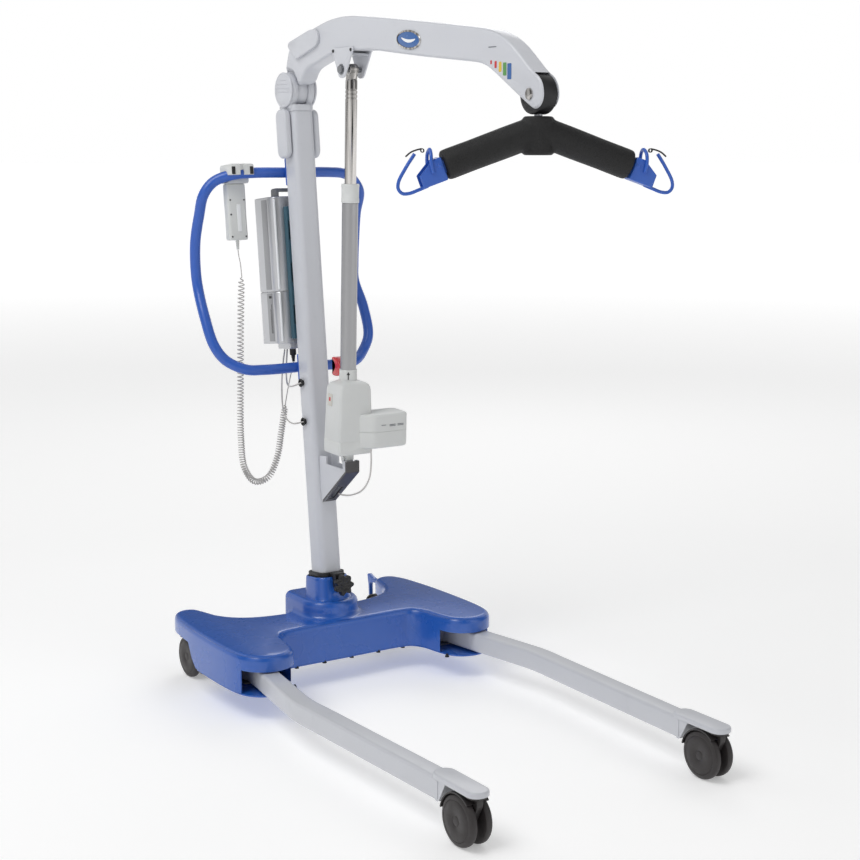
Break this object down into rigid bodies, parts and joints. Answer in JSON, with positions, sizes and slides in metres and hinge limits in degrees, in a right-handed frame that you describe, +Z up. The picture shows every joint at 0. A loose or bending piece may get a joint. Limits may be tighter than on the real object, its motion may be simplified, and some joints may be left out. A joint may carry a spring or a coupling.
{
  "type": "patient lift hoist",
  "caption": "Mobile patient lift: leaning grey mast on a blue base with splaying legs, powered boom, padded spreader bar with sling hooks, push handle, battery box and handset.",
  "frame": {"origin": "on the floor, at the middle of the hoist's footprint box", "axes": "+Z up, -Y towards the ends of the legs, +X the hoist's left side"},
  "size_m": [0.686, 1.3438, 1.5425],
  "materials": {
    "coat_grey": "semi-gloss light grey powder coat",
    "blue_plastic": "glossy moulded blue",
    "blue_coat": "semi-gloss blue powder coat",
    "dark_wheel": "satin charcoal moulding",
    "tread": "charcoal tread",
    "black_plastic": "satin black moulding",
    "pale_plastic": "satin pale grey moulding",
    "chrome": "polished",
    "aluminium": "brushed and anodised",
    "steel": "zinc-plated",
    "red_plastic": "glossy red",
    "teal": "dark teal",
    "foam": "black grained soft cover",
    "cord_grey": "satin grey cable jacket",
    "black_wire": "black spring wire"
  },
  "bodies": {
    "root": {"base_frame": "steel", "base_cover": "blue_plastic", "base_tray": "blue_plastic", "socket_collar": "black_plastic", "leg_motor": "black_plastic", "mast_post": "coat_grey", "cable_grommet_upper": "black_plastic", "cable_grommet_lower": "black_plastic", "mast_head": "coat_grey", "head_pivot_pin": "coat_grey", "head_cover_right": "coat_grey", "head_cover_left": "coat_grey", "actuator_gusset": "coat_grey", "push_handle": "blue_coat", "box_wall_plate": "teal", "control_box": "pale_plastic", "handset_clip": "pale_plastic", "handset": "pale_plastic", "handset_lead": "cord_grey", "handset_coil": "cord_grey", "handset_tail": "cord_grey", "handset_plug": "dark_wheel", "lift_lead": "cord_grey", "leg_lead": "cord_grey"},
    "star_knob": {"star_knob": "black_plastic"},
    "leg_right": {"leg_right": "coat_grey"},
    "leg_left": {"leg_left": "coat_grey"},
    "leg_drive": {"leg_yoke": "steel", "leg_push_rod": "chrome"},
    "brake_lever": {"brake_lever": "blue_plastic"},
    "battery_pack": {"battery_pack": "pale_plastic"},
    "stop_button": {"stop_button": "red_plastic"},
    "button_raise": {"button_raise": "teal"},
    "button_lower": {"button_lower": "teal"},
    "button_legs_open": {"button_legs_open": "teal"},
    "button_legs_close": {"button_legs_close": "teal"},
    "boom": {"boom_arm": "coat_grey", "lift_bracket": "coat_grey", "lift_bracket_bolt": "steel", "boom_end_pin": "chrome"},
    "lift_rod": {"lift_rod": "chrome"},
    "actuator": {"gear_housing": "pale_plastic", "lift_tube": "aluminium", "tube_collar": "pale_plastic", "motor_lead": "cord_grey"},
    "lowering_lever": {"lowering_lever": "red_plastic"},
    "knuckle": {"swing_knuckle": "black_plastic", "swivel_stud": "steel"},
    "spreader": {"spreader_frame": "blue_coat", "spreader_foam": "foam"},
    "hook_keeper_right": {"hook_keeper_right": "black_wire"},
    "hook_keeper_left": {"hook_keeper_left": "black_wire"},
    "caster_front_right": {"caster_hood_front_right": "dark_wheel"},
    "wheels_front_right": {"caster_wheels_front_right": "tread"},
    "caster_front_left": {"caster_hood_front_left": "dark_wheel"},
    "wheels_front_left": {"caster_wheels_front_left": "tread"},
    "caster_rear_right": {"caster_hood_rear_right": "dark_wheel"},
    "wheels_rear_right": {"caster_wheels_rear_right": "tread"},
    "caster_rear_left": {"caster_hood_rear_left": "dark_wheel"},
    "wheels_rear_left": {"caster_wheels_rear_left": "tread"}
  },
  "joints": [
    {"name": "boom_lift", "type": "hinge", "parent": "root", "child": "boom", "pos_m": [0, 0.52285, 1.388], "axis": [-1, 0, 0], "range_deg": [-50, 24]},
    {"name": "rod_pivot", "type": "hinge", "parent": "boom", "child": "lift_rod", "pos_m": [0, 0.26685, 1.427], "axis": [-1, 0, 0], "range_deg": [-25, 51.5]},
    {"name": "actuator_stroke", "type": "slide", "parent": "lift_rod", "child": "actuator", "axis": [0, -0.0361, 0.9993], "range_m": [-0.102, 0.211]},
    {"name": "lowering_lever_pull", "type": "slide", "parent": "actuator", "child": "lowering_lever", "axis": [0, -0.0361, 0.9993], "range_m": [0, 0.01], "stiffness_N_per_m": 600, "springref_m": -0.004},
    {"name": "spreader_swing", "type": "hinge", "parent": "boom", "child": "knuckle", "pos_m": [0, -0.41915, 1.358], "axis": [-1, 0, 0], "range_deg": [-35, 55]},
    {"name": "spreader_swivel", "type": "hinge", "parent": "knuckle", "child": "spreader", "pos_m": [0, -0.41915, 1.28], "axis": [0, 0, 1], "continuous": true},
    {"name": "keeper_left", "type": "hinge", "parent": "spreader", "child": "hook_keeper_left", "pos_m": [0.2092, -0.50365, 1.256], "axis": [-0.3746, -0.9272, 0], "range_deg": [0, 25], "stiffness_Nm_per_rad": 0.05, "springref_deg": -28.65},
    {"name": "keeper_right", "type": "hinge", "parent": "spreader", "child": "hook_keeper_right", "pos_m": [-0.2092, -0.33465, 1.256], "axis": [0.3746, 0.9272, 0], "range_deg": [0, 25], "stiffness_Nm_per_rad": 0.05, "springref_deg": -28.65},
    {"name": "leg_spread", "type": "hinge", "parent": "root", "child": "leg_left", "pos_m": [0.267, 0.28185, 0.087], "axis": [0, 0, 1], "range_deg": [0, 17]},
    {"name": "leg_spread_right", "type": "hinge", "parent": "root", "child": "leg_right", "pos_m": [-0.267, 0.28185, 0.087], "axis": [0, 0, -1], "range_deg": [0, 17]},
    {"name": "leg_yoke_slide", "type": "slide", "parent": "root", "child": "leg_drive", "axis": [0, -1, 0], "range_m": [0, 0.018]},
    {"name": "brake_lever_press", "type": "hinge", "parent": "root", "child": "brake_lever", "pos_m": [0.285, 0.61385, 0.128], "axis": [-1, 0, 0], "range_deg": [0, 6]},
    {"name": "star_knob_turn", "type": "hinge", "parent": "root", "child": "star_knob", "pos_m": [0, 0.33585, 0.232], "axis": [0, -1, 0], "continuous": true},
    {"name": "battery_lift", "type": "slide", "parent": "root", "child": "battery_pack", "axis": [0, 0.1045, 0.9945], "range_m": [0, 0.02]},
    {"name": "stop_press", "type": "slide", "parent": "root", "child": "stop_button", "axis": [0, -0.9945, 0.1045], "range_m": [0, 0.0025], "stiffness_N_per_m": 900, "springref_m": -0.001},
    {"name": "button_raise_press", "type": "slide", "parent": "root", "child": "button_raise", "axis": [0, -0.9945, 0.1045], "range_m": [0, 0.002], "stiffness_N_per_m": 400, "springref_m": -0.001},
    {"name": "button_lower_press", "type": "slide", "parent": "root", "child": "button_lower", "axis": [0, -0.9945, 0.1045], "range_m": [0, 0.002], "stiffness_N_per_m": 400, "springref_m": -0.001},
    {"name": "button_legs_open_press", "type": "slide", "parent": "root", "child": "button_legs_open", "axis": [0, -0.9945, 0.1045], "range_m": [0, 0.002], "stiffness_N_per_m": 400, "springref_m": -0.001},
    {"name": "button_legs_close_press", "type": "slide", "parent": "root", "child": "button_legs_close", "axis": [0, -0.9945, 0.1045], "range_m": [0, 0.002], "stiffness_N_per_m": 400, "springref_m": -0.001},
    {"name": "swivel_front_right", "type": "hinge", "parent": "leg_right", "child": "caster_front_right", "pos_m": [-0.2977, -0.64985, 0.104], "axis": [0, 0, 1], "continuous": true},
    {"name": "roll_front_right", "type": "hinge", "parent": "caster_front_right", "child": "wheels_front_right", "pos_m": [-0.2977, -0.62085, 0.05], "axis": [1, 0, 0], "continuous": true},
    {"name": "swivel_front_left", "type": "hinge", "parent": "leg_left", "child": "caster_front_left", "pos_m": [0.2977, -0.64985, 0.104], "axis": [0, 0, 1], "continuous": true},
    {"name": "roll_front_left", "type": "hinge", "parent": "caster_front_left", "child": "wheels_front_left", "pos_m": [0.2977, -0.62085, 0.05], "axis": [1, 0, 0], "continuous": true},
    {"name": "swivel_rear_right", "type": "hinge", "parent": "root", "child": "caster_rear_right", "pos_m": [-0.283, 0.56985, 0.104], "axis": [0, 0, 1], "continuous": true},
    {"name": "roll_rear_right", "type": "hinge", "parent": "caster_rear_right", "child": "wheels_rear_right", "pos_m": [-0.283, 0.54085, 0.05], "axis": [1, 0, 0], "continuous": true},
    {"name": "swivel_rear_left", "type": "hinge", "parent": "root", "child": "caster_rear_left", "pos_m": [0.283, 0.56985, 0.104], "axis": [0, 0, 1], "continuous": true},
    {"name": "roll_rear_left", "type": "hinge", "parent": "caster_rear_left", "child": "wheels_rear_left", "pos_m": [0.283, 0.59885, 0.05], "axis": [1, 0, 0], "continuous": true}
  ],
  "couplings": [
    {"joint": "rod_pivot", "follows": "boom_lift", "ratio": -1.015},
    {"joint": "actuator_stroke", "follows": "boom_lift", "m_per_rad": -0.2401},
    {"joint": "leg_spread_right", "follows": "leg_spread", "ratio": 1},
    {"joint": "leg_yoke_slide", "follows": "leg_spread", "m_per_rad": 0.0603}
  ]
}
